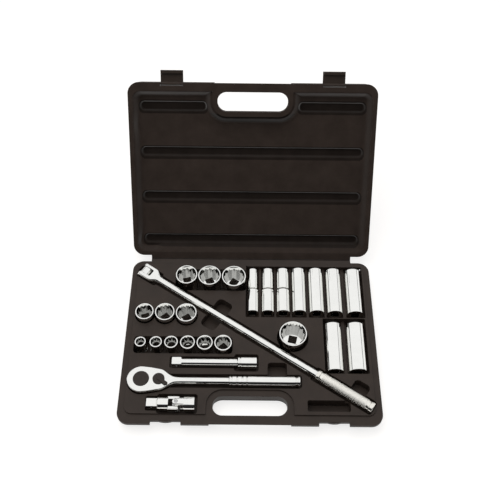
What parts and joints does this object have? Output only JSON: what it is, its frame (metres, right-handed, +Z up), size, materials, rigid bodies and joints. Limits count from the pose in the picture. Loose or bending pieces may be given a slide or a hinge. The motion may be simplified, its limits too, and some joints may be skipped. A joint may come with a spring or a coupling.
{
  "type": "socket wrench set in case",
  "caption": "Half-inch drive socket wrench set in a hinged double-wall plastic case: reversible ratchet, long flex-head handle, extension, universal joint, upright and deep sockets",
  "frame": {"origin": "centre of the flat base of the tray, where the open case rests", "axes": "+X to the right seen from the handle side, +Y back towards the hinge, +Z up; the lid is at rest fully open, leaning back"},
  "size_m": [0.4, 0.4938, 0.2769],
  "materials": {
    "case_plastic": "grained, charcoal",
    "chrome": "bright polished chrome plate",
    "satin_chrome": "knurled chrome plate",
    "black_oxide": "satin black oxide",
    "steel": "plain steel"
  },
  "bodies": {
    "tray": {"tray": "case_plastic", "living_hinge": "case_plastic"},
    "lid": {"lid": "case_plastic"},
    "latch_left": {"latch_left": "case_plastic"},
    "latch_right": {"latch_right": "case_plastic"},
    "ratchet": {"ratchet_body": "chrome", "ratchet_retaining_ring": "steel", "ratchet_pawl_spring": "steel"},
    "ratchet_gear": {"ratchet_drive_gear": "black_oxide", "ratchet_ball_spring": "steel"},
    "ratchet_lever": {"ratchet_reversing_lever": "black_oxide"},
    "ratchet_pawl": {"ratchet_pawl": "steel"},
    "ratchet_ball": {"ratchet_ball": "steel"},
    "flex_handle": {"flex_handle_bar": "chrome", "flex_handle_grip": "satin_chrome", "flex_handle_pin": "steel"},
    "flex_head": {"flex_handle_head": "chrome", "flex_handle_ball_spring": "steel"},
    "flex_ball": {"flex_handle_ball": "steel"},
    "extension": {"extension_bar": "chrome", "extension_ball_spring": "steel"},
    "extension_ball": {"extension_ball": "steel"},
    "ujoint_drive": {"ujoint_drive_yoke": "chrome", "ujoint_ball_spring": "steel"},
    "ujoint_cross": {"ujoint_block": "chrome", "ujoint_pins": "steel"},
    "ujoint_socket": {"ujoint_socket_yoke": "chrome"},
    "ujoint_ball": {"ujoint_ball": "steel"},
    "socket_7_16": {"socket_7_16": "chrome"},
    "socket_1_2": {"socket_1_2": "chrome"},
    "socket_9_16": {"socket_9_16": "chrome"},
    "socket_5_8": {"socket_5_8": "chrome"},
    "socket_11_16": {"socket_11_16": "chrome"},
    "socket_3_4": {"socket_3_4": "chrome"},
    "socket_13_16": {"socket_13_16": "chrome"},
    "socket_7_8": {"socket_7_8": "chrome"},
    "socket_15_16": {"socket_15_16": "chrome"},
    "socket_1": {"socket_1": "chrome"},
    "socket_1_1_16": {"socket_1_1_16": "chrome"},
    "socket_1_1_8": {"socket_1_1_8": "chrome"},
    "socket_1_1_4": {"socket_1_1_4": "chrome"},
    "deep_socket_7_16": {"deep_socket_7_16": "chrome"},
    "deep_socket_1_2": {"deep_socket_1_2": "chrome"},
    "deep_socket_9_16": {"deep_socket_9_16": "chrome"},
    "deep_socket_5_8": {"deep_socket_5_8": "chrome"},
    "deep_socket_11_16": {"deep_socket_11_16": "chrome"},
    "deep_socket_3_4": {"deep_socket_3_4": "chrome"},
    "deep_socket_13_16": {"deep_socket_13_16": "chrome"},
    "deep_socket_7_8": {"deep_socket_7_8": "chrome"},
    "deep_socket_15_16": {"deep_socket_15_16": "chrome"}
  },
  "joints": [
    {"name": "lid_hinge", "type": "hinge", "parent": "tray", "child": "lid", "pos_m": [0, 0.151, 0.028], "axis": [-1, 0, 0], "range_deg": [-126.65, 0]},
    {"name": "latch_left_hinge", "type": "hinge", "parent": "lid", "child": "latch_left", "pos_m": [-0.1295, 0.33442, 0.25734], "axis": [-1, 0, 0], "range_deg": [-90, 0]},
    {"name": "latch_right_hinge", "type": "hinge", "parent": "lid", "child": "latch_right", "pos_m": [0.1295, 0.33442, 0.25734], "axis": [-1, 0, 0], "range_deg": [-90, 0]},
    {"name": "ratchet_gear_spin", "type": "hinge", "parent": "ratchet", "child": "ratchet_gear", "pos_m": [-0.1672, -0.0765, 0.03], "axis": [0, 0, 1], "continuous": true},
    {"name": "ratchet_lever_turn", "type": "hinge", "parent": "ratchet", "child": "ratchet_lever", "pos_m": [-0.1402, -0.0765, 0.03], "axis": [0, 0, 1], "range_deg": [0, 70]},
    {"name": "flex_head_hinge", "type": "hinge", "parent": "flex_handle", "child": "flex_head", "pos_m": [-0.177, 0.1211, 0.03], "axis": [0.5519, 0.8339, 0], "range_deg": [-25, 15]},
    {"name": "ujoint_bend", "type": "hinge", "parent": "ujoint_drive", "child": "ujoint_cross", "pos_m": [-0.111, -0.1142, 0.03], "axis": [0, -1, 0], "range_deg": [0, 40]},
    {"name": "ujoint_turn", "type": "hinge", "parent": "ujoint_cross", "child": "ujoint_socket", "pos_m": [-0.111, -0.1142, 0.03], "axis": [0, 0, 1], "range_deg": [-8, 8]},
    {"name": "ratchet_lift", "type": "slide", "parent": "tray", "child": "ratchet", "axis": [0, 0, 1], "range_m": [0, 0.07]},
    {"name": "flex_handle_lift", "type": "slide", "parent": "tray", "child": "flex_handle", "axis": [0, 0, 1], "range_m": [0, 0.07]},
    {"name": "extension_lift", "type": "slide", "parent": "tray", "child": "extension", "axis": [0, 0, 1], "range_m": [0, 0.07]},
    {"name": "ujoint_lift", "type": "slide", "parent": "tray", "child": "ujoint_drive", "axis": [0, 0, 1], "range_m": [0, 0.07]},
    {"name": "socket_1_1_4_lift", "type": "slide", "parent": "tray", "child": "socket_1_1_4", "axis": [0, 0, 1], "range_m": [0, 0.07]},
    {"name": "deep_socket_15_16_lift", "type": "slide", "parent": "tray", "child": "deep_socket_15_16", "axis": [0, 0, 1], "range_m": [0, 0.07]},
    {"name": "ratchet_pawl_rock", "type": "hinge", "parent": "ratchet", "child": "ratchet_pawl", "pos_m": [-0.1402, -0.0765, 0.03], "axis": [0, 0, 1], "range_deg": [0, 14]},
    {"name": "ratchet_ball_press", "type": "slide", "parent": "ratchet_gear", "child": "ratchet_ball", "axis": [0, 1, 0], "range_m": [0, 0.0009], "stiffness_N_per_m": 300},
    {"name": "flex_ball_press", "type": "slide", "parent": "flex_head", "child": "flex_ball", "axis": [-0.8339, 0.5519, 0], "range_m": [0, 0.0009], "stiffness_N_per_m": 300},
    {"name": "extension_ball_press", "type": "slide", "parent": "extension", "child": "extension_ball", "axis": [0, 1, 0], "range_m": [0, 0.0009], "stiffness_N_per_m": 300},
    {"name": "ujoint_ball_press", "type": "slide", "parent": "ujoint_drive", "child": "ujoint_ball", "axis": [0, 1, 0], "range_m": [0, 0.0009], "stiffness_N_per_m": 300},
    {"name": "socket_7_16_lift", "type": "slide", "parent": "tray", "child": "socket_7_16", "axis": [0, 0, 1], "range_m": [0, 0.07]},
    {"name": "socket_1_2_lift", "type": "slide", "parent": "tray", "child": "socket_1_2", "axis": [0, 0, 1], "range_m": [0, 0.07]},
    {"name": "socket_9_16_lift", "type": "slide", "parent": "tray", "child": "socket_9_16", "axis": [0, 0, 1], "range_m": [0, 0.07]},
    {"name": "socket_5_8_lift", "type": "slide", "parent": "tray", "child": "socket_5_8", "axis": [0, 0, 1], "range_m": [0, 0.07]},
    {"name": "socket_11_16_lift", "type": "slide", "parent": "tray", "child": "socket_11_16", "axis": [0, 0, 1], "range_m": [0, 0.07]},
    {"name": "socket_3_4_lift", "type": "slide", "parent": "tray", "child": "socket_3_4", "axis": [0, 0, 1], "range_m": [0, 0.07]},
    {"name": "socket_13_16_lift", "type": "slide", "parent": "tray", "child": "socket_13_16", "axis": [0, 0, 1], "range_m": [0, 0.07]},
    {"name": "socket_7_8_lift", "type": "slide", "parent": "tray", "child": "socket_7_8", "axis": [0, 0, 1], "range_m": [0, 0.07]},
    {"name": "socket_15_16_lift", "type": "slide", "parent": "tray", "child": "socket_15_16", "axis": [0, 0, 1], "range_m": [0, 0.07]},
    {"name": "socket_1_lift", "type": "slide", "parent": "tray", "child": "socket_1", "axis": [0, 0, 1], "range_m": [0, 0.07]},
    {"name": "socket_1_1_16_lift", "type": "slide", "parent": "tray", "child": "socket_1_1_16", "axis": [0, 0, 1], "range_m": [0, 0.07]},
    {"name": "socket_1_1_8_lift", "type": "slide", "parent": "tray", "child": "socket_1_1_8", "axis": [0, 0, 1], "range_m": [0, 0.07]},
    {"name": "deep_socket_7_16_lift", "type": "slide", "parent": "tray", "child": "deep_socket_7_16", "axis": [0, 0, 1], "range_m": [0, 0.07]},
    {"name": "deep_socket_1_2_lift", "type": "slide", "parent": "tray", "child": "deep_socket_1_2", "axis": [0, 0, 1], "range_m": [0, 0.07]},
    {"name": "deep_socket_9_16_lift", "type": "slide", "parent": "tray", "child": "deep_socket_9_16", "axis": [0, 0, 1], "range_m": [0, 0.07]},
    {"name": "deep_socket_5_8_lift", "type": "slide", "parent": "tray", "child": "deep_socket_5_8", "axis": [0, 0, 1], "range_m": [0, 0.07]},
    {"name": "deep_socket_11_16_lift", "type": "slide", "parent": "tray", "child": "deep_socket_11_16", "axis": [0, 0, 1], "range_m": [0, 0.07]},
    {"name": "deep_socket_3_4_lift", "type": "slide", "parent": "tray", "child": "deep_socket_3_4", "axis": [0, 0, 1], "range_m": [0, 0.07]},
    {"name": "deep_socket_13_16_lift", "type": "slide", "parent": "tray", "child": "deep_socket_13_16", "axis": [0, 0, 1], "range_m": [0, 0.07]},
    {"name": "deep_socket_7_8_lift", "type": "slide", "parent": "tray", "child": "deep_socket_7_8", "axis": [0, 0, 1], "range_m": [0, 0.07]}
  ],
  "couplings": [
    {"joint": "ratchet_pawl_rock", "follows": "ratchet_lever_turn", "ratio": 0.2}
  ]
}
